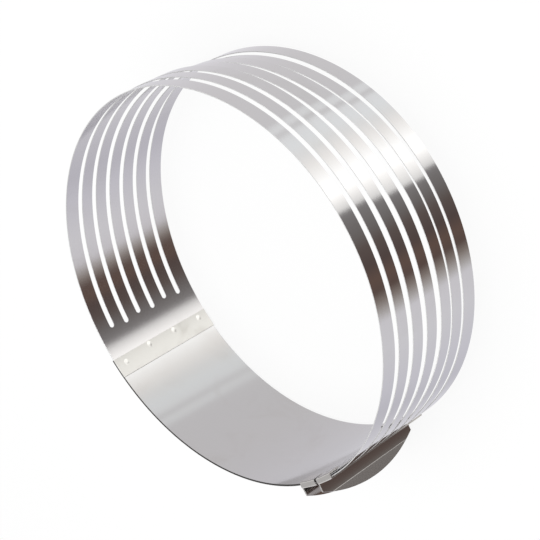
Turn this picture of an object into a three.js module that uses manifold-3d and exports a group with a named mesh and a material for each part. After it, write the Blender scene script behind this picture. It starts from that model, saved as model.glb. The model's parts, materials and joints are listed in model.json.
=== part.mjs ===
// Adjustable cake frame with slicing slots, in millimetres, +Z up.
// A slotted band and a plain band of spring steel are welded end to end at the seam. Their free ends overlap at the
// front, where each carries a folded clip that hooks over both rims of the other band. The frame is drawn at its
// largest, with the clips together: pulling the finger wings apart draws the slotted band over the plain one.

import * as THREE from 'three';
import { mergeVertices } from 'three/addons/utils/BufferGeometryUtils.js';
import Module from 'manifold-3d';

const wasm = await Module();
wasm.setup();

// Ring and sheet
const RING_DIAMETER = 260; // outside of the solid band
const BAND_HEIGHT = 85;
const SLOTTED_SHEET = 0.6;
const SOLID_SHEET = 1.2; // the plain band is the stiffer one, the rail that the slotted one slides on
const SHEET_CLEARANCE = 0.15; // between sheets that lie or slide on each other
const FACET_DEGREES = 2.5;
const FACET_SHARE = 0.1; // a facet line closer to an end than this share of a facet is left out

// Slots of the slotted band
const SLOT_COUNT = 6;
const SLOT_WIDTH = 3.5;
const SLOT_SEAM_MARGIN = 31; // from the band's seam end to the tips of the longer slots
const SLOT_CLIP_MARGIN = 36; // from the band's clip end to the tips of the longer slots
const SLOT_STAGGER = 1.8; // every other slot stops this much short at both ends
const SLOT_TIP_STEPS = 4;

// Fixed seam
const SEAM_ANGLE = THREE.MathUtils.degToRad(190.5); // end edge of the slotted band, inside the solid band
const SEAM_OVERLAP = 13.4;
const SEAM_WELD_SETBACKS = [3.8, 2.5, 2.4, 5.2]; // from the solid band's end edge, bottom weld first
const SPIRAL_CLIP_MARGIN = 175; // this much of the slotted band slides over the plain one, in the outer layer
const SPIRAL_SEAM_MARGIN = 12; // this much of it stays in the inner layer before the seam

// Clips
const FRONT_ANGLE = THREE.MathUtils.degToRad(-90); // middle of the slit between the clips
const CLIP_SLIT = 0.8;
const CLIP_WIDTH = 15;
const CLIP_SHEET = 1;
const RIM_CLEARANCE = 0.2; // between a rim and the fold over it
const HOOK_DEPTH = 8;
const FOLD_ROUND = 0.8; // outside rounding of the fold over a rim
const FOLD_STEPS = 3;
const FOLD_INSET = 0.05; // each face of the hook's outer leg lies this far inside the clip's base
const FOLD_LEG = 3; // length of that leg below the rim
const BAND_END_INSET = 0.6; // each band stops this far inside the far edge of its own clip

// Finger wings
const WING_BEND = 0.6; // inside radius of the bend at the root
const WING_BEND_STEPS = 4;
const WING_RIDGE = 8.4; // from the outside of the base to the ridge
const WING_REACH = 15.4; // from the outside of the base to the top of the half-moon
const WING_SHOULDER = 5.2; // straight end edges below the half-moon
const WING_FLARE_DEGREES = 4; // turn at the ridge, away from the other wing
const WING_ARC_STEPS = 20;

// Spot welds
const WELD_COUNT = SEAM_WELD_SETBACKS.length;
const WELD_PITCH = 23;
const WELD_DIAMETER = 3.6;
const WELD_CLEARANCE = 0.15;
const WELD_DOME = 0.4; // height of the pip
const WELD_SHOULDER = { across: 0.6, rise: 0.75 }; // shares of the pip's radius and height
const WELD_FLUSH = 0.05; // how far a hidden end stays below the face that slides over it
const WELD_SIDES = 12;
const HOOK_WELD_SPACING = 7;

// Stack of sheets, from the inside of the ring outwards
const SOLID_OUTER = RING_DIAMETER / 2;
const SOLID_INNER = SOLID_OUTER - SOLID_SHEET;
const SLOTTED_INNER_AT_CLIP = SOLID_OUTER + SHEET_CLEARANCE;
const SLOTTED_INNER_AT_SEAM = SOLID_INNER - SHEET_CLEARANCE - SLOTTED_SHEET;
const CLIP_INNER = SLOTTED_INNER_AT_CLIP + SLOTTED_SHEET + SHEET_CLEARANCE;
const CLIP_OUTER = CLIP_INNER + CLIP_SHEET;
const HOOK_OUTER = SOLID_INNER - SHEET_CLEARANCE;
const HOOK_INNER = HOOK_OUTER - CLIP_SHEET;

// Angles round the ring axis, measured from +X, in radians
const FACET = THREE.MathUtils.degToRad(FACET_DEGREES);
const turn = (length) => length / SOLID_OUTER;
const END_CLIP_START = FRONT_ANGLE + turn(CLIP_SLIT / 2);
const END_CLIP_END = END_CLIP_START + turn(CLIP_WIDTH);
const SLIDING_CLIP_END = FRONT_ANGLE - turn(CLIP_SLIT / 2);
const SLIDING_CLIP_START = SLIDING_CLIP_END - turn(CLIP_WIDTH);
const SLOTTED_START = SLIDING_CLIP_START + turn(BAND_END_INSET + CLIP_SHEET);
const SOLID_START = SEAM_ANGLE - turn(SEAM_OVERLAP);
const SOLID_END = END_CLIP_END - turn(BAND_END_INSET) + 2 * Math.PI;

const CUT_PAST = 5; // how far a cutter reaches past the sheets it cuts
const MITRE_LIMIT = 2; // longest corner of a folded sheet, in sheet thicknesses
const MERGE_DISTANCE = 1e-5; // points closer than this are one

const steel = (color, roughness) => new THREE.MeshStandardMaterial({ color, roughness, metalness: 1 });
const BAND_STEEL = steel(0xc9c8cc, 0.22);
const CLIP_STEEL = steel(0x8f8884, 0.3);
const WELD_STEEL = steel(0xd6d2c8, 0.35);

/** Angles from start to end, with every facet line of the ring between them. */
function facetAngles(start, end) {
  const angles = [start];
  const first = Math.floor(start / FACET) + 1;
  for (let line = first; line * FACET < end; line += 1) {
    const isClear = Math.min(line * FACET - start, end - line * FACET) > FACET_SHARE * FACET;
    if (isClear) angles.push(line * FACET);
  }
  angles.push(end);
  return angles;
}

/** Closed solid through one section of [radius, height] points, counter-clockwise, at each angle round the axis. */
function sweepRound(angles, sectionAt) {
  const sections = angles.map(sectionAt);
  const size = sections[0].length;
  const position = [];
  const index = [];
  sections.forEach((section, ring) => {
    const [cos, sin] = [Math.cos(angles[ring]), Math.sin(angles[ring])];
    section.forEach(([radius, height]) => position.push(radius * cos, radius * sin, height));
  });
  for (let ring = 0; ring + 1 < sections.length; ring += 1) {
    for (let point = 0; point < size; point += 1) {
      const a = ring * size + point;
      const d = ring * size + ((point + 1) % size);
      index.push(a, a + size, d + size, a, d + size, d);
    }
  }
  const last = (sections.length - 1) * size;
  const cap = (section) => THREE.ShapeUtils.triangulateShape(section.map(([x, y]) => new THREE.Vector2(x, y)), []);
  cap(sections[0]).forEach(([a, b, c]) => index.push(a, b, c));
  cap(sections.at(-1)).forEach(([a, b, c]) => index.push(last + a, last + c, last + b));
  const geometry = new THREE.BufferGeometry();
  geometry.setAttribute('position', new THREE.Float32BufferAttribute(position, 3));
  geometry.setIndex(index);
  return geometry;
}

const rectangle = (inner, outer, low, high) => [[inner, low], [outer, low], [outer, high], [inner, high]];

/** Solid for joins and cuts from a closed geometry. */
function solidOf(geometry) {
  const bare = geometry.clone();
  bare.deleteAttribute('normal');
  bare.deleteAttribute('uv');
  const merged = mergeVertices(bare, MERGE_DISTANCE);
  return new wasm.Manifold(
    new wasm.Mesh({
      numProp: 3,
      vertProperties: new Float32Array(merged.attributes.position.array),
      triVerts: new Uint32Array(merged.index.array),
    }),
  );
}

function geometryOf(solid) {
  const mesh = solid.getMesh();
  const geometry = new THREE.BufferGeometry();
  geometry.setAttribute('position', new THREE.BufferAttribute(new Float32Array(mesh.vertProperties), 3));
  geometry.setIndex(new THREE.BufferAttribute(new Uint32Array(mesh.triVerts), 1));
  geometry.computeVertexNormals();
  return geometry;
}

const cutAll = (solid, cutters) => cutters.reduce((left, cutter) => left.subtract(cutter), solid);

/** Turns a geometry made along +Y so that its axis points outwards at an angle and its origin sits at a height. */
function radially(geometry, angle, height) {
  return geometry
    .rotateZ(-Math.PI / 2)
    .rotateZ(angle)
    .translate(0, 0, height);
}

// Bands

/** Inner radius of the slotted band: outside the solid band at the clips, inside it at the seam. */
function slottedInner(angle) {
  const from = END_CLIP_END + turn(SPIRAL_CLIP_MARGIN);
  const to = SOLID_START - turn(SPIRAL_SEAM_MARGIN);
  const share = THREE.MathUtils.smoothstep(angle, from, to);
  return THREE.MathUtils.lerp(SLOTTED_INNER_AT_CLIP, SLOTTED_INNER_AT_SEAM, share);
}

/** Cutter for one slot with round tips. */
function slotCutter(middle, start, end) {
  const half = SLOT_WIDTH / 2;
  const tip = (step) => (Math.PI / 2) * (step / SLOT_TIP_STEPS);
  const stations = [];
  for (let step = 1; step <= SLOT_TIP_STEPS; step += 1) {
    stations.push({ along: half * (1 - Math.cos(tip(step))), rise: half * Math.sin(tip(step)) });
  }
  const head = stations.map(({ along, rise }) => ({ angle: start + turn(along), rise }));
  const tail = stations.map(({ along, rise }) => ({ angle: end - turn(along), rise })).reverse();
  const body = facetAngles(head.at(-1).angle, tail[0].angle).slice(1, -1).map((angle) => ({ angle, rise: half }));
  const all = [...head, ...body, ...tail];
  const inner = SLOTTED_INNER_AT_SEAM - CUT_PAST;
  const outer = CLIP_OUTER + CUT_PAST;
  const riseAt = new Map(all.map(({ angle, rise }) => [angle, rise]));
  return solidOf(
    sweepRound([...riseAt.keys()], (angle) => {
      const rise = riseAt.get(angle);
      return rectangle(inner, outer, middle - rise, middle + rise);
    }),
  );
}

function slotCutters() {
  const pitch = BAND_HEIGHT / (SLOT_COUNT + 1);
  return Array.from({ length: SLOT_COUNT }, (_, slot) => {
    const short = slot % 2 === 0 ? 0 : SLOT_STAGGER;
    const start = SLOTTED_START + turn(SLOT_CLIP_MARGIN + short);
    const end = SEAM_ANGLE - turn(SLOT_SEAM_MARGIN + short);
    return slotCutter((slot + 1) * pitch, start, end);
  });
}

function slottedBand(welds) {
  const band = sweepRound(facetAngles(SLOTTED_START, SEAM_ANGLE), (angle) => {
    const inner = slottedInner(angle);
    return rectangle(inner, inner + SLOTTED_SHEET, 0, BAND_HEIGHT);
  });
  return geometryOf(cutAll(solidOf(band), [...slotCutters(), ...welds.map(weldHole)]));
}

function solidBand(welds) {
  const band = sweepRound(facetAngles(SOLID_START, SOLID_END), () =>
    rectangle(SOLID_INNER, SOLID_OUTER, 0, BAND_HEIGHT),
  );
  return geometryOf(cutAll(solidOf(band), welds.map(weldHole)));
}

// Clips

/** Outline of a sheet whose middle follows a path in plan. */
function sheetOutline(path, thickness) {
  const side = (sign) =>
    path.map((point, i) => {
      const before = path[Math.max(i - 1, 0)];
      const after = path[Math.min(i + 1, path.length - 1)];
      const into = point.clone().sub(i === 0 ? point.clone().multiplyScalar(2).sub(after) : before).normalize();
      const out = (i === path.length - 1 ? point.clone().sub(before) : after.clone().sub(point)).normalize();
      const normal = new THREE.Vector2(-into.y - out.y, into.x + out.x).normalize();
      const stretch = Math.min(1 / normal.dot(new THREE.Vector2(-into.y, into.x)), MITRE_LIMIT);
      return point.clone().addScaledVector(normal, (sign * thickness * stretch) / 2);
    });
  return [...side(1), ...side(-1).reverse()];
}

/** Middle line, in plan, of a clip's base, root bend and wing. The root is at the angle start. */
function clipPath(start, flare) {
  const middle = CLIP_INNER + CLIP_SHEET / 2;
  const bend = WING_BEND + CLIP_SHEET / 2;
  const polar = (radius, angle) => new THREE.Vector2(radius * Math.cos(angle), radius * Math.sin(angle));
  const outwards = polar(1, start);
  const along = new THREE.Vector2(-outwards.y, outwards.x);
  const baseStart = start + turn(CLIP_SHEET / 2 + bend);
  const path = facetAngles(baseStart, start + turn(CLIP_WIDTH)).reverse().map((angle) => polar(middle, angle));
  const heel = polar(middle + bend, start).addScaledVector(along, CLIP_SHEET / 2 + bend);
  for (let step = 1; step <= WING_BEND_STEPS; step += 1) {
    const angle = (Math.PI / 2) * (step / WING_BEND_STEPS);
    path.push(
      heel
        .clone()
        .addScaledVector(along, -bend * Math.sin(angle))
        .addScaledVector(outwards, -bend * Math.cos(angle)),
    );
  }
  const wing = (height, lean) => {
    const past = Math.max(height - WING_RIDGE, 0);
    const rise = Math.min(height, WING_RIDGE) + past * Math.cos(lean);
    return outwards
      .clone()
      .multiplyScalar(CLIP_OUTER + rise)
      .addScaledVector(along, CLIP_SHEET / 2 + past * Math.sin(lean));
  };
  path.push(wing(WING_RIDGE, flare), wing(WING_REACH + CUT_PAST, flare));
  return path;
}

/** Prism that trims the wing at the angle start to straight ends under a half-moon. */
function wingTrim(start, flare) {
  const reach = WING_RIDGE + (WING_REACH - WING_RIDGE) * Math.cos(flare);
  const shoulder = CLIP_OUTER + WING_SHOULDER;
  const rise = reach - WING_SHOULDER;
  const half = BAND_HEIGHT / 2;
  const arcRadius = (half * half + rise * rise) / (2 * rise);
  const arcSpan = Math.asin(half / arcRadius);
  const shape = new THREE.Shape();
  const fold = RIM_CLEARANCE + CLIP_SHEET - FOLD_ROUND;
  shape.moveTo(0, -fold);
  shape.lineTo(CLIP_OUTER + WING_BEND, -fold);
  shape.lineTo(CLIP_OUTER + WING_BEND, 0);
  for (let step = 0; step <= WING_ARC_STEPS; step += 1) {
    const angle = arcSpan * ((2 * step) / WING_ARC_STEPS - 1);
    shape.lineTo(shoulder + rise - arcRadius * (1 - Math.cos(angle)), half + arcRadius * Math.sin(angle));
  }
  shape.lineTo(CLIP_OUTER + WING_BEND, BAND_HEIGHT);
  shape.lineTo(CLIP_OUTER + WING_BEND, BAND_HEIGHT + fold);
  shape.lineTo(0, BAND_HEIGHT + fold);
  const width = 2 * (CLIP_WIDTH + WING_REACH);
  const prism = new THREE.ExtrudeGeometry(shape, { depth: width, bevelEnabled: false });
  return prism
    .translate(0, 0, -width / 2)
    .rotateX(Math.PI / 2)
    .rotateZ(start);
}

/** Hook over the top rim, as a section of [radius, height] points: outer leg, fold and inside tab. */
function hookSection() {
  const under = BAND_HEIGHT + RIM_CLEARANCE;
  const over = under + CLIP_SHEET;
  const legOuter = CLIP_OUTER - FOLD_INSET;
  const legInner = CLIP_INNER + FOLD_INSET;
  const round = (radius, from) =>
    Array.from({ length: FOLD_STEPS + 1 }, (_, step) => {
      const angle = from + (Math.PI / 2) * (step / FOLD_STEPS);
      return [radius + FOLD_ROUND * Math.cos(angle), over - FOLD_ROUND + FOLD_ROUND * Math.sin(angle)];
    });
  return [
    [legInner, BAND_HEIGHT - FOLD_LEG],
    [legOuter, BAND_HEIGHT - FOLD_LEG],
    ...round(legOuter - FOLD_ROUND, 0),
    ...round(HOOK_INNER + FOLD_ROUND, Math.PI / 2),
    [HOOK_INNER, BAND_HEIGHT - HOOK_DEPTH],
    [HOOK_OUTER, BAND_HEIGHT - HOOK_DEPTH],
    [HOOK_OUTER, under],
    [legInner, under],
  ];
}

/** Folded clip whose wing stands at the angle start, with its base on the side of increasing angle. */
function clip(start, flareDegrees, welds) {
  const flare = THREE.MathUtils.degToRad(flareDegrees);
  const outline = sheetOutline(clipPath(start, flare), CLIP_SHEET);
  const overall = BAND_HEIGHT + 2 * (RIM_CLEARANCE + CLIP_SHEET + CUT_PAST);
  const sheet = new THREE.ExtrudeGeometry(new THREE.Shape(outline), { depth: overall, bevelEnabled: false });
  sheet.translate(0, 0, (BAND_HEIGHT - overall) / 2);
  const hookStart = start + turn(CLIP_SHEET + WING_BEND + FOLD_INSET);
  const hookEnd = start + turn(CLIP_WIDTH - FOLD_INSET);
  const top = hookSection();
  const bottom = top.map(([radius, height]) => [radius, BAND_HEIGHT - height]).reverse();
  const hooks = [top, bottom].map((section) => solidOf(sweepRound(facetAngles(hookStart, hookEnd), () => section)));
  const body = solidOf(sheet).intersect(solidOf(wingTrim(start, flare))).add(hooks[0]).add(hooks[1]);
  return geometryOf(cutAll(body, welds.map(weldHole)));
}

// Spot welds

/** One weld: its place, the radii of its two ends, and the height of the dome on each end. */
const weldRow = (angles, heights, ends) => heights.map((height, i) => ({ angle: angles[i], height, ...ends }));

/** Hole for a weld. At a hidden end it stops in the clearance, short of the next sheet. */
function weldHole({ angle, height, inner, outer, innerDome, outerDome }) {
  const radius = WELD_DIAMETER / 2 + WELD_CLEARANCE;
  const from = inner - (innerDome > 0 ? CUT_PAST : SHEET_CLEARANCE);
  const to = outer + (outerDome > 0 ? CUT_PAST : SHEET_CLEARANCE);
  const hole = new THREE.CylinderGeometry(radius, radius, to - from, WELD_SIDES);
  return solidOf(radially(hole.translate(0, (from + to) / 2, 0), angle, height));
}

/** Weld nugget through its sheets, with a low dome on each end that shows. */
function weldNugget({ angle, height, inner, outer, innerDome, outerDome }) {
  const radius = WELD_DIAMETER / 2;
  const profile = [
    [0, inner - innerDome],
    [radius * WELD_SHOULDER.across, inner - innerDome * WELD_SHOULDER.rise],
    [radius, inner],
    [radius, outer],
    [radius * WELD_SHOULDER.across, outer + outerDome * WELD_SHOULDER.rise],
    [0, outer + outerDome],
  ].filter(([across, along], i, all) => i === 0 || across !== all[i - 1][0] || along !== all[i - 1][1]);
  const nugget = new THREE.LatheGeometry(profile.map(([x, y]) => new THREE.Vector2(x, y)), WELD_SIDES);
  return geometryOf(solidOf(radially(nugget, angle, height)));
}

const columnHeights = Array.from(
  { length: WELD_COUNT },
  (_, i) => BAND_HEIGHT / 2 + WELD_PITCH * (i - (WELD_COUNT - 1) / 2),
);
const seamWelds = weldRow(
  SEAM_WELD_SETBACKS.map((setback) => SOLID_START + turn(setback)),
  columnHeights,
  { inner: SLOTTED_INNER_AT_SEAM, outer: SOLID_OUTER, innerDome: WELD_DOME, outerDome: WELD_DOME / 2 },
);
const slidingClipWelds = weldRow(
  columnHeights.map(() => SLIDING_CLIP_START + turn(CLIP_WIDTH / 2 + CLIP_SHEET)),
  columnHeights,
  { inner: SLOTTED_INNER_AT_CLIP + WELD_FLUSH, outer: CLIP_OUTER, innerDome: 0, outerDome: WELD_DOME },
);
const hookWeldAngle = (side) => (END_CLIP_START + END_CLIP_END + turn(CLIP_SHEET + side * HOOK_WELD_SPACING)) / 2;
const endClipWelds = weldRow(
  [hookWeldAngle(-1), hookWeldAngle(1), hookWeldAngle(-1), hookWeldAngle(1)],
  [HOOK_DEPTH / 2, HOOK_DEPTH / 2, BAND_HEIGHT - HOOK_DEPTH / 2, BAND_HEIGHT - HOOK_DEPTH / 2],
  { inner: HOOK_INNER, outer: SOLID_OUTER - WELD_FLUSH, innerDome: WELD_DOME / 2, outerDome: 0 },
);

// Assembly

const assembly = new THREE.Group();

function add(name, geometry, material) {
  const mesh = new THREE.Mesh(geometry, material);
  mesh.name = name;
  assembly.add(mesh);
}

add('slotted_band', slottedBand([...seamWelds, ...slidingClipWelds]), BAND_STEEL);
add('solid_band', solidBand([...seamWelds, ...endClipWelds]), BAND_STEEL);
add('sliding_clip', clip(SLIDING_CLIP_START, -WING_FLARE_DEGREES, slidingClipWelds), CLIP_STEEL);
add('end_clip', clip(END_CLIP_START, WING_FLARE_DEGREES, endClipWelds), CLIP_STEEL);
seamWelds.forEach((weld, i) => add(`seam_weld_${i + 1}`, weldNugget(weld), WELD_STEEL));
slidingClipWelds.forEach((weld, i) => add(`sliding_clip_weld_${i + 1}`, weldNugget(weld), WELD_STEEL));
endClipWelds.forEach((weld, i) => add(`end_clip_weld_${i + 1}`, weldNugget(weld), WELD_STEEL));

// The origin is in the middle of the footprint, on the surface that the frame stands on.
const box = new THREE.Box3().setFromObject(assembly);
const middle = box.getCenter(new THREE.Vector3());
assembly.position.set(-middle.x, -middle.y, -box.min.z);

const cakeFrame = new THREE.Group();
cakeFrame.add(assembly);

export default cakeFrame;
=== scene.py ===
"""Looks of the adjustable cake frame: fine sheet-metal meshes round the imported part, a studio and a camera.

Lengths are in metres and angles in radians, unless a name says otherwise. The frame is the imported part's own:
+Z up along the ring axis, the clips on the -Y side. Angles round the ring axis are measured from +X.
"""

import json
import logging
import math
from collections.abc import Sequence
from dataclasses import dataclass, field
from enum import Enum

import bmesh
import bpy
import numpy as np
from bpy.types import NodeSocket
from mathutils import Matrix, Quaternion, Vector

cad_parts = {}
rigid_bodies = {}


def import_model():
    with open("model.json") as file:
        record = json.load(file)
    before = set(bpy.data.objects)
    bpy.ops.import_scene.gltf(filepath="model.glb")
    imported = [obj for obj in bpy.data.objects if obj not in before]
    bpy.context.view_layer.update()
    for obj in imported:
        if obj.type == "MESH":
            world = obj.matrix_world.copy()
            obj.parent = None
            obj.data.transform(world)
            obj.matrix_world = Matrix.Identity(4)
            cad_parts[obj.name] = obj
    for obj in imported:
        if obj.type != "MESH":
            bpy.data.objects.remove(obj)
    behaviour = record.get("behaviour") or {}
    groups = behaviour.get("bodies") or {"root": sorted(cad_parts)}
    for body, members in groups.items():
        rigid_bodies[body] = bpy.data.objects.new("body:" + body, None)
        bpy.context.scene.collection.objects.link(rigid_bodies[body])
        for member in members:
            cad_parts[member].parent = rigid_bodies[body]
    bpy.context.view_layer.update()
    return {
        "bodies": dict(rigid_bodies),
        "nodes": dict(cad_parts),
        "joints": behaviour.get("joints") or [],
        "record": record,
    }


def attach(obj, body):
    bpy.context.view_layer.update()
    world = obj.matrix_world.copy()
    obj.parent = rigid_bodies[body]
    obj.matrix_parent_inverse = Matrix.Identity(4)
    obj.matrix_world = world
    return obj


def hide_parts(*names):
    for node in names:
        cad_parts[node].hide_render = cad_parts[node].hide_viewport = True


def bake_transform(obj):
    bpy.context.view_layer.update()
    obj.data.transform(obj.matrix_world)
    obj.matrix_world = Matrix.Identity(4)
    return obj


LOG = logging.getLogger("cake_frame")
SIZE_JOINT = "size_slide"
MM = 0.001
MERGE_DISTANCE = 1e-6
HOOP_UV = "Hoop"
FULL_TURN_DEG = 360.0

# Cut lines that no face of a piece crosses, for unrolling it
CUT_BEHIND_SEAM = math.radians(-135)
CUT_AT_BACK = math.radians(90)


class Body(Enum):
    """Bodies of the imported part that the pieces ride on."""

    RING = "ring"
    SLIDER = "slider"


class Steel(Enum):
    """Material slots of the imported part's record."""

    BAND = "band_steel"
    CLIP = "clip_steel"
    WELD = "weld_steel"


class Effect(Enum):
    """Surface effects that several finishes share, by the names of their node groups."""

    GRAIN = "Rolling grain"
    SMUDGES = "Handling smudges"
    WAVES = "Sheet waves"


class Course(Enum):
    """How a number in a shader passes from one value to another."""

    EVEN = "LINEAR"
    SMOOTH = "SMOOTHSTEP"


# Ring and the places of its nodes


@dataclass(frozen=True)
class Span:
    """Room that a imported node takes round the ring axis.

    Attributes:
        start: Angle at which it begins.
        end: Angle at which it ends.
        inner: Smallest distance from the axis.
        outer: Largest distance from the axis.
        low: Lowest height.
        high: Greatest height.
    """

    start: float
    end: float
    inner: float
    outer: float
    low: float
    high: float

    @property
    def middle(self) -> float:
        """Angle halfway round the node."""
        return (self.start + self.end) / 2

    @property
    def height(self) -> float:
        """Height of the node's middle."""
        return (self.low + self.high) / 2


@dataclass(frozen=True)
class Ring:
    """The ring's axis and rims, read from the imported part.

    Attributes:
        axis: Point of the ring axis at height 0.
        low: Height of the lower rim.
        high: Height of the upper rim.
        solid_inner: Inside radius of the plain band.
        solid_outer: Outside radius of the plain band.
        sheet: Thickness of the slotted band.
        clearance: Gap between sheets that lie on each other.
        clip_sheet: Thickness of the clips.
        rim_clearance: Gap between a rim and the fold over it.
    """

    axis: Vector
    low: float
    high: float
    solid_inner: float
    solid_outer: float
    sheet: float = 0.6 * MM
    clearance: float = 0.15 * MM
    clip_sheet: float = 1.0 * MM
    rim_clearance: float = 0.2 * MM

    @classmethod
    def from_frame(cls, frame: dict) -> "Ring":
        """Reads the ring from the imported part.


        Returns:
            The ring.
        """
        joint = next(j for j in frame["joints"] if j["name"] == SIZE_JOINT)
        axis = Vector((joint["pos_m"][0], joint["pos_m"][1], 0.0))
        solid = node_span(frame["nodes"]["solid_band"], axis, CUT_AT_BACK)
        return cls(axis, solid.low, solid.high, solid.inner, solid.outer)

    @property
    def height(self) -> float:
        """Height of the bands."""
        return self.high - self.low

    @property
    def middle(self) -> Vector:
        """Middle of the ring."""
        return self.axis + Vector((0, 0, (self.low + self.high) / 2))

    @property
    def slotted_outer_at_clip(self) -> float:
        """Outside radius of the slotted band where it lies on the plain one."""
        return self.solid_outer + self.clearance + self.sheet

    @property
    def clip_inner(self) -> float:
        """Inside radius of a clip's base."""
        return self.slotted_outer_at_clip + self.clearance

    @property
    def hook_outer(self) -> float:
        """Outside radius of the tabs inside the ring."""
        return self.solid_inner - self.clearance

    def turn(self, length: float) -> float:
        """Angle that a length along the ring takes."""
        return length / self.solid_outer

    def points(self, radius: np.ndarray, angle: np.ndarray, height: np.ndarray) -> np.ndarray:
        """Points round the ring axis.

        Args:
            radius: Distances from the axis.
            angle: Angles round it.
            height: Heights.

        Returns:
            An array of the same shape with x, y and z last.
        """
        x = self.axis.x + radius * np.cos(angle)
        y = self.axis.y + radius * np.sin(angle)
        return np.stack(np.broadcast_arrays(x, y, height), -1)


def polar(points: np.ndarray, axis: Vector, cut: float) -> tuple[np.ndarray, np.ndarray]:
    """Radius and angle of points round the ring axis.

    Args:
        points: Rows of x, y and z.
        axis: Point on the ring axis.
        cut: Angle at which the count of angles begins.

    Returns:
        The radii, and the angles from cut to a full turn past it.
    """
    x, y = points[:, 0] - axis.x, points[:, 1] - axis.y
    angle = np.mod(np.arctan2(y, x) - cut, 2 * math.pi) + cut
    return np.hypot(x, y), angle


def mesh_points(mesh: bpy.types.Mesh) -> np.ndarray:
    """Places of a mesh's points.

    Args:
        mesh: The mesh.

    Returns:
        Rows of x, y and z.
    """
    flat = np.zeros(len(mesh.vertices) * 3, np.float32)
    mesh.vertices.foreach_get("co", flat)
    return flat.reshape(-1, 3).astype(float)


def node_span(node: bpy.types.Object, axis: Vector, cut: float) -> Span:
    """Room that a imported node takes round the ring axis.

    Args:
        node: The node's object.
        axis: Point on the ring axis.
        cut: Angle that the node doesn't reach.

    Returns:
        Its span.
    """
    points = mesh_points(node.data)
    radius, angle = polar(points, axis, cut)
    ends = [(line.min(), line.max()) for line in (angle, radius, points[:, 2])]
    return Span(*(float(end) for pair in ends for end in pair))


# Node groups and finishes


class NodeTree:
    """Adds nodes to a material, world or group and links them."""

    def __init__(self, tree: bpy.types.NodeTree) -> None:
        """Empties the tree."""
        self.tree = tree
        self.tree.nodes.clear()

    def add(self, kind: str, settings: dict | None = None, inputs: dict | None = None) -> bpy.types.Node:
        """Adds one node.

        Args:
            kind: The node's type.
            settings: Values of its properties.
            inputs: By name or number, a plain value or an output socket to link.

        Returns:
            The new node.
        """
        node = self.tree.nodes.new(kind)
        for name, value in (settings or {}).items():
            setattr(node, name, value)
        for name, value in (inputs or {}).items():
            if isinstance(value, NodeSocket):
                self.tree.links.new(value, node.inputs[name])
            else:
                node.inputs[name].default_value = value
        return node

    def math(self, operation: str, *values: NodeSocket | float) -> NodeSocket:
        """Result of a math node on numbers or sockets."""
        node = self.add("ShaderNodeMath", {"operation": operation}, dict(enumerate(values)))
        return node.outputs[0]

    def degrees(self, angle: NodeSocket) -> NodeSocket:
        """An angle in degrees."""
        return self.math("DEGREES", angle)

    def scaled(self, vector: NodeSocket, scale: NodeSocket | tuple[float, float, float]) -> NodeSocket:
        """A vector stretched along each axis."""
        node = self.add("ShaderNodeVectorMath", {"operation": "MULTIPLY"}, {0: vector, 1: scale})
        return node.outputs["Vector"]

    def between(
        self,
        number: NodeSocket,
        limits: tuple[NodeSocket | float, NodeSocket | float],
        values: tuple[float, float] = (0.0, 1.0),
        course: Course = Course.EVEN,
    ) -> NodeSocket:
        """A number that passes from one value to another while a given one passes between two limits.

        Args:
            number: The given number.
            limits: The two limits.
            values: The value at each limit, which holds past it.
            course: How it passes.

        Returns:
            The number.
        """
        ends = {"From Min": limits[0], "From Max": limits[1], "To Min": values[0], "To Max": values[1]}
        settings = {"interpolation_type": course.value}
        return self.add("ShaderNodeMapRange", settings, {"Value": number, **ends}).outputs[0]


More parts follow.
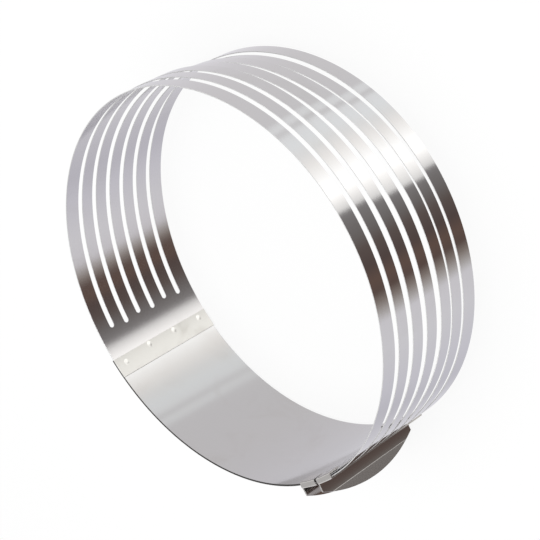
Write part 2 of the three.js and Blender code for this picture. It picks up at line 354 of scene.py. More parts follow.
class Effects:
    """The surface effects, each built once as a node group.

    Attributes:
        LINES_PER_METRE: Usual fineness of the grain.
        LINE_STRETCH: Usual length of a grain line, in line widths.
        GRAIN_NOISE: Noise that draws the grain.
        SMUDGE_NOISE: Noise that places the smudges.
        SMUDGE_EDGE: Rise of that noise from the rim of a smudge to its full strength.
        WAVE_NOISE: Noise that draws the waves.
        WAVE_SCALE: Closeness of the waves along the sheet and across it.
        groups: The node groups.
    """

    LINES_PER_METRE = 7000.0
    LINE_STRETCH = 120.0
    GRAIN_NOISE = {"Detail": 3.0}
    SMUDGE_NOISE = {"Detail": 5.0, "Roughness": 0.62, "Distortion": 0.4}
    SMUDGE_EDGE = 0.3
    WAVE_NOISE = {"Detail": 1.0}
    WAVE_SCALE = (1.0, 0.35, 0.0)

    def __init__(self) -> None:
        """Builds the groups."""
        self.groups = {
            Effect.GRAIN: self._grain(),
            Effect.SMUDGES: self._smudges(),
            Effect.WAVES: self._waves(),
        }

    @staticmethod
    def _group(effect: Effect, inputs: dict[str, float], output: str) -> tuple[NodeTree, bpy.types.Node]:
        """Starts a group with a vector, some numbers in and one number out.

        Args:
            effect: The effect.
            inputs: Names of its number inputs, with their usual values.
            output: Name of its output.

        Returns:
            Its tree and its input node.
        """
        tree = bpy.data.node_groups.new(effect.value, "ShaderNodeTree")
        tree.interface.new_socket("Vector", in_out="INPUT", socket_type="NodeSocketVector")
        for label, value in inputs.items():
            socket = tree.interface.new_socket(label, in_out="INPUT", socket_type="NodeSocketFloat")
            socket.default_value = value
        tree.interface.new_socket(output, in_out="OUTPUT", socket_type="NodeSocketFloat")
        made = NodeTree(tree)
        return made, made.add("NodeGroupInput")

    @staticmethod
    def _noise(
        made: NodeTree, vector: NodeSocket, scale: NodeSocket | float, settings: dict[str, float]
    ) -> NodeSocket:
        """Adds flat noise.

        Args:
            made: The group's tree.
            vector: Place on the sheet.
            scale: Fineness of the noise.
            settings: Its other inputs.

        Returns:
            The noise as a number.
        """
        inputs = {"Vector": vector, "Scale": scale, **settings}
        return made.add("ShaderNodeTexNoise", {"noise_dimensions": "2D"}, inputs).outputs["Fac"]

    def _grain(self) -> bpy.types.NodeTree:
        """Draws fine lines along the sheet, as rolling and brushing leave them.

        Returns:
            The group.
        """
        usual = {"Lines per metre": self.LINES_PER_METRE, "Stretch": self.LINE_STRETCH}
        made, given = self._group(Effect.GRAIN, usual, "Lines")
        across = given.outputs["Lines per metre"]
        along = made.math("DIVIDE", across, given.outputs["Stretch"])
        scale = made.add("ShaderNodeCombineXYZ", inputs={0: along, 1: across})
        place = made.scaled(given.outputs["Vector"], scale.outputs[0])
        made.add("NodeGroupOutput", inputs={0: self._noise(made, place, 1.0, self.GRAIN_NOISE)})
        return made.tree

    def _smudges(self) -> bpy.types.NodeTree:
        """Draws soft patches where hands and cloths have dulled the sheet.

        Returns:
            The group.
        """
        made, given = self._group(Effect.SMUDGES, {"Patches per metre": 28.0, "Cover": 0.5}, "Mask")
        scale = given.outputs["Patches per metre"]
        noise = self._noise(made, given.outputs["Vector"], scale, self.SMUDGE_NOISE)
        rim = made.math("SUBTRACT", 1.0, given.outputs["Cover"])
        full = made.math("ADD", rim, self.SMUDGE_EDGE)
        made.add("NodeGroupOutput", inputs={0: made.between(noise, (rim, full), course=Course.SMOOTH)})
        return made.tree

    def _waves(self) -> bpy.types.NodeTree:
        """Draws the long shallow waves that thin spring steel has after it is coiled.

        Returns:
            The group.
        """
        made, given = self._group(Effect.WAVES, {"Waves per metre": 16.0}, "Height")
        place = made.scaled(given.outputs["Vector"], self.WAVE_SCALE)
        noise = self._noise(made, place, given.outputs["Waves per metre"], self.WAVE_NOISE)
        made.add("NodeGroupOutput", inputs={0: noise})
        return made.tree

    def place(self, made: NodeTree, effect: Effect, inputs: dict) -> NodeSocket:
        """Places an effect in a material.

        Args:
            made: The material's tree.
            effect: The effect.
            inputs: Input values of its group.

        Returns:
            The group's output.
        """
        node = made.add("ShaderNodeGroup", {"node_tree": self.groups[effect]}, inputs)
        return node.outputs[0]


@dataclass(frozen=True)
class SteelFinish:
    """A finish of bare stainless steel.

    Attributes:
        name: Name of the material.
        tint: Colour of the clean metal.
        smudge_tint: Colour where it is dulled.
        roughness: Roughness of the clean metal.
        smudge_roughness: Roughness added where it is dulled.
        grain_roughness: Roughness added by the grain.
        grain_height: Depth of the grain.
        wave_height: Depth of the long waves.
        lines_per_metre: Fineness of the grain.
        stretch: Length of a grain line, in line widths.
        anisotropy: Share of the gloss that the grain draws out across it.
        gloss_turn: Way in which it is drawn out, in turns from the way round the ring.
    """

    name: str
    tint: tuple[float, float, float]
    smudge_tint: tuple[float, float, float]
    roughness: float
    smudge_roughness: float = 0.05
    grain_roughness: float = 0.05
    grain_height: float = 0.004 * MM
    wave_height: float = 0.0
    lines_per_metre: float = Effects.LINES_PER_METRE
    stretch: float = Effects.LINE_STRETCH
    anisotropy: float = 0.6
    gloss_turn: float = 0.25

    def material(self, effects: Effects) -> bpy.types.Material:
        """Builds the material.

        Args:
            effects: The shared node groups.

        Returns:
            The new material.
        """
        material = bpy.data.materials.new(self.name)
        material.use_nodes = True
        made = NodeTree(material.node_tree)
        place = made.add("ShaderNodeUVMap", {"uv_map": HOOP_UV}).outputs["UV"]
        lines = {"Lines per metre": self.lines_per_metre, "Stretch": self.stretch}
        grain = effects.place(made, Effect.GRAIN, {"Vector": place, **lines})
        smudge = effects.place(made, Effect.SMUDGES, {"Vector": place})
        wave = effects.place(made, Effect.WAVES, {"Vector": place})
        tints = {"A": (*self.tint, 1.0), "B": (*self.smudge_tint, 1.0)}
        colour = made.add("ShaderNodeMix", {"data_type": "RGBA"}, {"Factor": smudge, **tints})
        dulled = made.math("MULTIPLY_ADD", smudge, self.smudge_roughness, self.roughness)
        rough = made.math("MULTIPLY_ADD", grain, self.grain_roughness, dulled)
        waves = made.math("MULTIPLY", wave, self.wave_height)
        ripple = made.math("MULTIPLY_ADD", grain, self.grain_height, waves)
        bump = made.add("ShaderNodeBump", inputs={"Strength": 1.0, "Distance": 1.0, "Height": ripple})
        tangent = made.add("ShaderNodeTangent", {"direction_type": "RADIAL", "axis": "Z"})
        steel = made.add(
            "ShaderNodeBsdfPrincipled",
            inputs={
                "Base Color": colour.outputs["Result"],
                "Metallic": 1.0,
                "Roughness": rough,
                "Normal": bump.outputs["Normal"],
                "Tangent": tangent.outputs["Tangent"],
                "Anisotropic": self.anisotropy,
                "Anisotropic Rotation": self.gloss_turn,
            },
        )
        made.add("ShaderNodeOutputMaterial", inputs={"Surface": steel.outputs["BSDF"]})
        return material


OUTSIDE_FINISH = SteelFinish(
    "band_steel_polished",
    tint=(0.63, 0.625, 0.635),
    smudge_tint=(0.61, 0.605, 0.61),
    roughness=0.025,
    smudge_roughness=0.02,
    grain_roughness=0.025,
    wave_height=0.012 * MM,
)
INSIDE_FINISH = SteelFinish(
    "band_steel_rolled",
    tint=(0.63, 0.62, 0.63),
    smudge_tint=(0.61, 0.6, 0.605),
    roughness=0.11,
    wave_height=0.016 * MM,
)
PLAIN_FINISH = SteelFinish(
    "band_steel_plain",
    tint=(0.565, 0.56, 0.565),
    smudge_tint=(0.545, 0.535, 0.535),
    roughness=0.08,
    wave_height=0.016 * MM,
)
SEAM_FINISH = SteelFinish(
    "band_steel_seam",
    tint=(0.655, 0.645, 0.625),
    smudge_tint=(0.63, 0.615, 0.585),
    roughness=0.3,
    smudge_roughness=0.08,
    anisotropy=0.0,
)
SLOT_EDGE_FINISH = SteelFinish(
    "band_steel_slot_edge",
    tint=(0.72, 0.715, 0.715),
    smudge_tint=(0.66, 0.655, 0.65),
    roughness=0.35,
    anisotropy=0.0,
)
# Painted shade: the plain band's rims are near-black, which draws a dark line along them.
RIM_PAINTED_SHADE_FINISH = SteelFinish(
    "band_steel_sheared_rim",
    tint=(0.06, 0.057, 0.055),
    smudge_tint=(0.045, 0.042, 0.04),
    roughness=0.45,
    anisotropy=0.0,
)
CLIP_FINISH = SteelFinish(
    "clip_steel_pressed",
    tint=(0.61, 0.59, 0.575),
    smudge_tint=(0.56, 0.54, 0.525),
    roughness=0.1,
    grain_roughness=0.08,
    lines_per_metre=5200.0,
    stretch=60.0,
)
WELD_FINISH = SteelFinish(
    "weld_steel_fused",
    tint=(0.76, 0.75, 0.73),
    smudge_tint=(0.74, 0.725, 0.7),
    roughness=0.25,
    smudge_roughness=0.06,
    anisotropy=0.0,
)


class Finishes:
    """The materials of the part, made once."""

    def __init__(self, effects: Effects) -> None:
        """Builds the materials.

        Args:
            effects: The shared node groups.
        """
        self.outside = OUTSIDE_FINISH.material(effects)
        self.inside = INSIDE_FINISH.material(effects)
        self.plain = PLAIN_FINISH.material(effects)
        self.seam = SEAM_FINISH.material(effects)
        self.slot_edge = SLOT_EDGE_FINISH.material(effects)
        # Near-black rims: painted shade.
        self.rim_painted_shade = RIM_PAINTED_SHADE_FINISH.material(effects)
        self.clip = CLIP_FINISH.material(effects)
        self.weld = WELD_FINISH.material(effects)


# Meshes of sheet metal


@dataclass(frozen=True)
class SheetMaker:
    """Makes solid sheet metal with eased edges from a grid of points on one of its faces.

    Attributes:
        ring: The ring that the sheet belongs to.
        thickness: Thickness of the sheet.
        offset: Where the grid lies: 1 on the inside face, 0 in the middle, -1 on the outside face.
        ease: Width of the eased edges.
        ease_steps: Steps across an eased edge.
        ease_from: Turn from which an edge is eased.
    """

    ring: Ring
    thickness: float
    offset: float = 0.0
    ease: float = 0.16 * MM
    ease_steps: int = 2
    ease_from: float = math.radians(50)

    @staticmethod
    def faces(
        columns: int, rows: int, filled: Sequence[int], first: int = 0
    ) -> list[tuple[int, int, int, int]]:
        """Quads of a grid whose points are listed column by column.

        Args:
            columns: Number of columns.
            rows: Points in each column.
            filled: Rows that have a quad above them.
            first: Number of the grid's first point.

        Returns:
            The quads, facing outwards where the columns run with the angle and the rows run up.
        """
        quads = []
        for column in range(columns - 1):
            a = first + column * rows
            quads += [(a + row, a + rows + row, a + rows + row + 1, a + row + 1) for row in filled]
        return quads

    def build(self, name: str, points: np.ndarray, faces: list, cut: float) -> bpy.types.Object:
        """Makes the sheet.

        Args:
            name: Name of the piece.
            points: Rows of x, y and z.
            faces: Faces of the grid.
            cut: Angle that the piece doesn't reach.

        Returns:
            The piece, with its edges in the second material slot.
        """
        mesh = bpy.data.meshes.new(name)
        mesh.from_pydata(points.tolist(), [], faces)
        clean(mesh)
        piece = add_object(name, mesh)
        mesh.materials.append(None)
        mesh.materials.append(None)
        solid = piece.modifiers.new("Thickness", "SOLIDIFY")
        solid.thickness = self.thickness
        solid.offset = self.offset
        solid.use_even_offset = True
        solid.use_quality_normals = True
        solid.material_offset_rim = 1
        bevel = piece.modifiers.new("Eased edges", "BEVEL")
        bevel.width = self.ease
        bevel.segments = self.ease_steps
        bevel.limit_method = "ANGLE"
        bevel.angle_limit = self.ease_from
        bevel.use_clamp_overlap = True
        weigh = piece.modifiers.new("Even shading", "WEIGHTED_NORMAL")
        weigh.keep_sharp = True
        settle(piece)
        unroll(piece.data, self.ring, cut)
        return piece


def add_object(name: str, data: bpy.types.ID) -> bpy.types.Object:
    """Puts a new object in the scene.

    Args:
        name: Its name.
        data: Its mesh, lamp or camera.

    Returns:
        The object.
    """
    added = bpy.data.objects.new(name, data)
    bpy.context.scene.collection.objects.link(added)
    return added


def clean(mesh: bpy.types.Mesh) -> None:
    """Merges points that lie on each other, drops faces without area and shades the rest smooth.

    Args:
        mesh: The mesh.
    """
    work = bmesh.new()
    work.from_mesh(mesh)
    bmesh.ops.remove_doubles(work, verts=work.verts, dist=MERGE_DISTANCE)
    bmesh.ops.dissolve_degenerate(work, edges=work.edges, dist=MERGE_DISTANCE)
    for face in work.faces:
        face.smooth = True
    work.to_mesh(mesh)
    work.free()


def settle(piece: bpy.types.Object) -> None:
    """Applies a piece's modifiers to its mesh.

    Args:
        piece: The piece.
    """
    bpy.context.view_layer.update()
    graph = bpy.context.evaluated_depsgraph_get()
    settled = bpy.data.meshes.new_from_object(piece.evaluated_get(graph))
    settled.name = piece.name
    rough = piece.data
    piece.modifiers.clear()
    piece.data = settled
    bpy.data.meshes.remove(rough)


def unroll(mesh: bpy.types.Mesh, ring: Ring, cut: float) -> None:
    """Gives a mesh a map in metres: along the hoop, then out along a wing, by height.

    Args:
        mesh: The mesh.
        ring: The ring.
        cut: Angle that no face crosses.
    """
    points = mesh_points(mesh)
    radius, angle = polar(points, ring.axis, cut)
    along = ring.solid_outer * angle - (radius - ring.solid_outer)
    flat = np.stack([along, points[:, 2]], 1)
    corner = np.zeros(len(mesh.loops), np.int32)
    mesh.loops.foreach_get("vertex_index", corner)
    layer = mesh.uv_layers.new(name=HOOP_UV)
    layer.uv.foreach_set("vector", flat[corner].astype(np.float32).ravel())


def dress(piece: bpy.types.Object, slot: Steel, *materials: bpy.types.Material) -> None:
    """Gives a piece its materials and reports it.

    Args:
        piece: The piece.
        slot: The record's slot that the materials stand for. Not used.
        materials: The materials in the order of the mesh's slots.
    """
    slots = piece.data.materials
    while len(slots) < len(materials):
        slots.append(None)
    for i, material in enumerate(materials):
        slots[i] = material
    LOG.info("%s: %d faces", piece.name, len(piece.data.polygons))


def stations(start: float, end: float, step: float) -> np.ndarray:
    """Even angles from start to end, no further apart than step."""
    return np.linspace(start, end, math.ceil((end - start) / step) + 1)


def smooth(share: np.ndarray) -> np.ndarray:
    """Eases shares towards 0 and 1, and holds them there."""
    held = np.clip(share, 0, 1)
    return held**2 * (3 - 2 * held)


# Bands


class Side(Enum):
    """Material slots of a band's mesh."""

    OUTSIDE = 0
    INSIDE = 1
    EDGE = 2
    END = 3


@dataclass
class BandSheet:
    """Sheet bent round the ring, with eased edges along its rims, ends and slots.

    Attributes:
        ring: The ring.
        angle: Angles of the columns of the grid on the sheet's faces.
        height: Heights of its rows at each column.
        radius: Outside radius at each of these points.
        filled: Rows that have sheet above them.
        sheet: Thickness of the sheet.
        ease: Width of the eased edges, which lie outside the grid.
        lap_from: Angle from which the sheet lies on or in another piece.
        crease: Turn from which an edge is drawn sharp.
    """

    ring: Ring
    angle: np.ndarray
    height: np.ndarray
    radius: np.ndarray
    filled: Sequence[int]
    sheet: float
    ease: float
    lap_from: float = math.inf
    crease: float = math.radians(35)

    def _number(self) -> tuple[np.ndarray, np.ndarray, np.ndarray]:
        """Numbers the grid's points, with one number for points that lie on each other.

        Returns:
            The number of each point in the grid; the unrolled place of each number; its outside radius.
        """
        column = np.broadcast_to(np.arange(len(self.angle))[:, None], self.height.shape).ravel()
        keys = np.stack([column, np.round(self.height.ravel() / MERGE_DISTANCE)], 1)
        _, first, number = np.unique(keys, axis=0, return_index=True, return_inverse=True)
        along = self.ring.solid_outer * self.angle[column[first]]
        flat = np.stack([along, self.height.ravel()[first]], 1)
        return number.reshape(self.height.shape), flat, self.radius.ravel()[first]

    def _faces(self, number: np.ndarray) -> list[tuple[int, ...]]:
        """Faces of the outside, without points that repeat.

        Args:
            number: The number of each point in the grid.

        Returns:
            The faces.
        """
        faces = []
        for column in range(len(self.angle) - 1):
            near, far = number[column], number[column + 1]
            for row in self.filled:
                corners = (near[row], far[row], far[row + 1], near[row + 1])
                face = tuple(int(c) for i, c in enumerate(corners) if c != corners[i - 1])
                if len(face) > 2:
                    faces.append(face)
        return faces

    def _edge(self, faces: list[tuple[int, ...]], flat: np.ndarray) -> tuple[dict[int, int], np.ndarray]:
        """Edges of the sheet and the way out from them.

        Args:
            faces: Faces of the outside.
            flat: Unrolled places of the points.

        Returns:
            The point that follows each point along the edges, and for these points the step out to the eased
            edge.
        """
        sides = {(face[i - 1], corner) for face in faces for i, corner in enumerate(face)}
        follows = {a: b for a, b in sides if (b, a) not in sides}
        here = np.array(list(follows))
        there = np.array(list(follows.values()))
        run = flat[there] - flat[here]
        run /= np.linalg.norm(run, axis=1)[:, None]
        out = np.stack([run[:, 1], -run[:, 0]], 1)
        into = np.zeros_like(flat)
        into[there] = out
        turn = 1 + np.sum(out * into[here], 1)
        return follows, self.ease * (out + into[here]) / turn[:, None]

    def _mark_ends(self, mesh: bpy.types.Mesh, cut: float) -> None:
        """Moves the sheet's two end edges, and the inside and rims of a lap, to a material slot of their own.

        Args:
            mesh: The sheet's mesh.
            cut: Angle that it doesn't reach.
        """
        side = np.zeros(len(mesh.polygons), np.int32)
        mesh.polygons.foreach_get("material_index", side)
        centre = np.zeros(len(mesh.polygons) * 3, np.float32)
        mesh.polygons.foreach_get("center", centre)
        _, angle = polar(centre.reshape(-1, 3), self.ring.axis, cut)
        past_end = (angle < self.angle[0]) | (angle > self.angle[-1])
        side[(side == Side.EDGE.value) & past_end] = Side.END.value
        side[(side != Side.OUTSIDE.value) & (angle > self.lap_from)] = Side.END.value
        mesh.polygons.foreach_set("material_index", side)

    def build(self, name: str, cut: float) -> bpy.types.Object:
        """Makes the sheet.

        Args:
            name: Name of the piece.
            cut: Angle that the piece doesn't reach.

        Returns:
            The piece, with its material slots in the order of the sides.
        """
        number, flat, radius = self._number()
        outside = self._faces(number)
        follows, step = self._edge(outside, flat)
        border = np.array(list(follows))
        eased = flat[border] + step
        places = np.concatenate([flat, flat, eased, eased])
        inside_radius = radius - self.sheet
        depth = np.concatenate([
            radius,
            inside_radius,
            radius[border] - self.ease,
            inside_radius[border] + self.ease,
        ])
        points = self.ring.points(depth, places[:, 0] / self.ring.solid_outer, places[:, 1])
        total, rim = len(flat), len(border)
        place = {point: i for i, point in enumerate(follows)}
        inside = [tuple(total + corner for corner in reversed(face)) for face in outside]
        edges = []
        for a, b in follows.items():
            upper = (2 * total + place[a], 2 * total + place[b])
            lower = (upper[0] + rim, upper[1] + rim)
            edges += [
                (b, a, *upper),
                (upper[1], upper[0], *lower),
                (lower[1], lower[0], total + a, total + b),
            ]
        mesh = bpy.data.meshes.new(name)
        mesh.from_pydata(points.tolist(), [], outside + inside + edges)
        counts = ((Side.OUTSIDE, outside), (Side.INSIDE, inside), (Side.EDGE, edges))
        sides = np.concatenate([np.full(len(faces), side.value, np.int32) for side, faces in counts])
        for _ in Side:
            mesh.materials.append(None)
        mesh.polygons.foreach_set("material_index", sides)
        mesh.polygons.foreach_set("use_smooth", np.ones(len(sides), bool))
        mesh.set_sharp_from_angle(angle=self.crease)
        unroll(mesh, self.ring, cut)
        self._mark_ends(mesh, cut)
        return add_object(name, mesh)


@dataclass
class PlainBand:
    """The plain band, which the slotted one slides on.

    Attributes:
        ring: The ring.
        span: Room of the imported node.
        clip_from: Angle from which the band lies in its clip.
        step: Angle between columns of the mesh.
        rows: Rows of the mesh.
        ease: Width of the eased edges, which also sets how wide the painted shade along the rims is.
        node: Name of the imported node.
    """

    ring: Ring
    span: Span
    clip_from: float
    step: float = math.radians(1)
    rows: int = 9
    ease: float = 0.4 * MM
    node: str = "solid_band"

    def build(self, finishes: Finishes) -> None:
        """Makes the band and puts it in the node's place.

        Args:
            finishes: The materials.
        """
        inset = self.ring.turn(self.ease)
        angle = stations(self.span.start + inset, self.span.end - inset, self.step)
        row = np.linspace(self.span.low + self.ease, self.span.high - self.ease, self.rows)
        height = np.broadcast_to(row, (len(angle), self.rows))
        radius = np.full(height.shape, self.span.outer)
        sheet = self.span.outer - self.span.inner
        filled = range(self.rows - 1)
        band = BandSheet(self.ring, angle, height, radius, filled, sheet, self.ease, self.clip_from)
        piece = band.build("plain_band", CUT_AT_BACK)
        # The rims take the near-black finish: a painted shade line along them.
        dress(piece, Steel.BAND, finishes.plain, finishes.plain, finishes.rim_painted_shade, finishes.plain)
        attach(piece, Body.RING.value)
        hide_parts(self.node)


@dataclass
class SlottedBand:
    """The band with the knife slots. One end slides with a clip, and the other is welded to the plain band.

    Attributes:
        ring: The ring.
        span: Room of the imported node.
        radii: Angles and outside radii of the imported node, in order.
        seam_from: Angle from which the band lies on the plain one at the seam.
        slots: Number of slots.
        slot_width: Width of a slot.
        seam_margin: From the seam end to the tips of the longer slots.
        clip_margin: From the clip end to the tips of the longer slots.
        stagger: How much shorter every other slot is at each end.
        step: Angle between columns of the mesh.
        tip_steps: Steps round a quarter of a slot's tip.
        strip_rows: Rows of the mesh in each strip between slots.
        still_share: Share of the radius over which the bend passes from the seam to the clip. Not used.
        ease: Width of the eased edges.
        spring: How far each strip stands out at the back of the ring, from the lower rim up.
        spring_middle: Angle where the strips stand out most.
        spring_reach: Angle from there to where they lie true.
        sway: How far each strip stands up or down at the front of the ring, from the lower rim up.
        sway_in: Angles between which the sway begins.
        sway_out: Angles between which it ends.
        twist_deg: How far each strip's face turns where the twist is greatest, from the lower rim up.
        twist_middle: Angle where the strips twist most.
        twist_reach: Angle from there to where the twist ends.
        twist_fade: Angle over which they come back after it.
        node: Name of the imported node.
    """

    ring: Ring
    span: Span
    radii: tuple[np.ndarray, np.ndarray]
    seam_from: float
    slots: int = 6
    slot_width: float = 3.5 * MM
    seam_margin: float = 31.0 * MM
    clip_margin: float = 36.0 * MM
    stagger: float = 1.8 * MM
    step: float = math.radians(1)
    tip_steps: int = 8
    strip_rows: int = 4
    still_share: float = 0.58
    ease: float = 0.08 * MM
    spring: tuple[float, ...] = (-3.6 * MM, -4.8 * MM, -2.5 * MM, -1.5 * MM, 0.5 * MM, 0.5 * MM, 0.0)
    spring_middle: float = math.radians(70)
    spring_reach: float = math.radians(72)
    sway: tuple[float, ...] = (0.0, -1.2 * MM, -3.1 * MM, -1.9 * MM, -1.1 * MM, -0.3 * MM, 0.0)
    sway_in: tuple[float, float] = (math.radians(-66), math.radians(-40))
    sway_out: tuple[float, float] = (math.radians(10), math.radians(45))
    twist_deg: tuple[float, ...] = (0.4, -1.5, -1.3, -1.0, -0.45, 0.85, 1.1)
    twist_middle: float = math.radians(1.4)
    twist_reach: float = math.radians(7)
    twist_fade: float = math.radians(36)
    node: str = "slotted_band"

    @classmethod
    def from_node(cls, ring: Ring, node: bpy.types.Object, seam_from: float) -> "SlottedBand":
        """Reads the band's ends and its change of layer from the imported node.

        Args:
            ring: The ring.
            node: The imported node.
            seam_from: Angle from which it lies on the plain band at the seam.

        Returns:
            The band.
        """
        points = mesh_points(node.data)
        on_rim = points[np.abs(points[:, 2] - ring.low) < ring.clearance]
        radius, angle = polar(on_rim, ring.axis, CUT_BEHIND_SEAM)
        outside = np.array([radius[np.abs(angle - a) < ring.turn(ring.clearance)].max() for a in angle])
        order = np.argsort(angle)
        span = node_span(node, ring.axis, CUT_BEHIND_SEAM)
        return cls(ring, span, (angle[order], outside[order]), seam_from)

    def _ends(self, slot: int) -> tuple[float, float]:
        """Tips of one slot's eased outline.

        Args:
            slot: Number of the slot, from the lower rim up.

        Returns:
            Their angles, at the clip's end and at the seam's.
        """
        short = (self.stagger if slot % 2 else 0.0) - self.ease
        start = self.span.start + self.ring.turn(self.clip_margin + short)
        return start, self.span.end - self.ring.turn(self.seam_margin + short)

    def _columns(self) -> np.ndarray:
        """Columns of the mesh, closer together round the slot tips.

        Returns:
            Their angles.
        """
        rise = 1 - np.cos(np.linspace(0, math.pi / 2, self.tip_steps + 1))
        tip = self.ring.turn(self.slot_width / 2 + self.ease) * rise
        inset = self.ring.turn(self.ease)
        columns = [stations(self.span.start + inset, self.span.end - inset, self.step), [self.seam_from]]
        # Even and odd slots differ in length
        for slot in range(2):
            start, end = self._ends(slot)
            columns += [start + tip, end - tip]
        return np.unique(np.concatenate(columns))

    def _slot_half(self, slot: int, angle: np.ndarray) -> np.ndarray:
        """Half the height of a slot: a half circle at its tips, and none past them.

        Args:
            slot: Number of the slot, from the lower rim up.
            angle: Angles of the columns.

        Returns:
            Half the height at each angle.
        """
        half = self.slot_width / 2 + self.ease
        start, end = self._ends(slot)
        past_tip = np.minimum(angle - start, end - angle) * self.ring.solid_outer
        inside = np.clip(past_tip, 0, half)
        return np.sqrt(np.maximum(half**2 - (half - inside) ** 2, 0))

    def _sway_share(self, angle: np.ndarray) -> np.ndarray:
        """Share of the strips' sway.

        Args:
            angle: Angles of the columns.

        Returns:
            The share at each angle.
        """
        limits = (self.sway_in, self.sway_out)
        begun, ended = (smooth((angle - start) / (end - start)) for start, end in limits)
        return begun * (1 - ended)

    def _heights(self, angle: np.ndarray) -> np.ndarray:
        """Heights of the mesh's rows at each angle, strip by strip from the lower rim.

        Args:
            angle: Angles of the columns.

        Returns:
            One column of heights for each angle.
        """
        pitch = self.ring.height / (self.slots + 1)
        edges = [np.full_like(angle, self.span.low + self.ease)]
        for slot in range(self.slots):
            middle = self.span.low + (slot + 1) * pitch
            half = self._slot_half(slot, angle)
            edges += [middle - half, middle + half]
        edges.append(np.full_like(angle, self.span.high - self.ease))
        share = np.linspace(0, 1, self.strip_rows)
        strips = [low[:, None] + (high - low)[:, None] * share for low, high in zip(edges[::2], edges[1::2])]
        sway = np.outer(self._sway_share(angle), np.repeat(self.sway, self.strip_rows))
        return np.concatenate(strips, 1) + sway

    def _twist_share(self, angle: np.ndarray) -> np.ndarray:
        """How far a strip stands out for each radian of its twist.

        Args:
            angle: Angles of the columns.

        Returns:
            The distance at each angle.
        """
        beside = np.clip((angle - self.twist_middle) / self.twist_reach, -1, 1)
        begun = (beside + 1) / 2 + np.sin(math.pi * beside) / (2 * math.pi)
        ended = smooth((angle - self.twist_middle - self.twist_reach) / self.twist_fade)
        return self.twist_reach * self.ring.solid_outer * begun * (1 - ended)

    def _radii(self, angle: np.ndarray) -> np.ndarray:
        """Outside radius of each strip's rows, which spring and twist between the slots' ends.

        Args:
            angle: Angles of the columns.

        Returns:
            One column of radii for each angle.
        """
        away = np.clip(np.abs(angle - self.spring_middle) / self.spring_reach, 0, 1)
        spring = np.outer(np.cos(away * math.pi / 2) ** 2, np.repeat(self.spring, self.strip_rows))
        twist = np.outer(self._twist_share(angle), np.repeat(np.radians(self.twist_deg), self.strip_rows))
        return np.interp(angle, *self.radii)[:, None] + spring + twist

    def build(self, finishes: Finishes) -> None:
        """Makes the band in the node's place.

        Args:
            finishes: The materials.
        """
        angle = self._columns()
        height = self._heights(angle)
        rows = range(height.shape[1] - 1)
        filled = [row for row in rows if (row + 1) % self.strip_rows]
        radius = self._radii(angle)
        band = BandSheet(self.ring, angle, height, radius, filled, self.ring.sheet, self.ease, self.seam_from)
        piece = band.build("slotted_band_sheet", CUT_BEHIND_SEAM)
        dress(piece, Steel.BAND, finishes.outside, finishes.inside, finishes.slot_edge, finishes.seam)
        back = self.span.middle
        centre = self.ring.middle
        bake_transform(piece)
        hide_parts(self.node)


# Clips


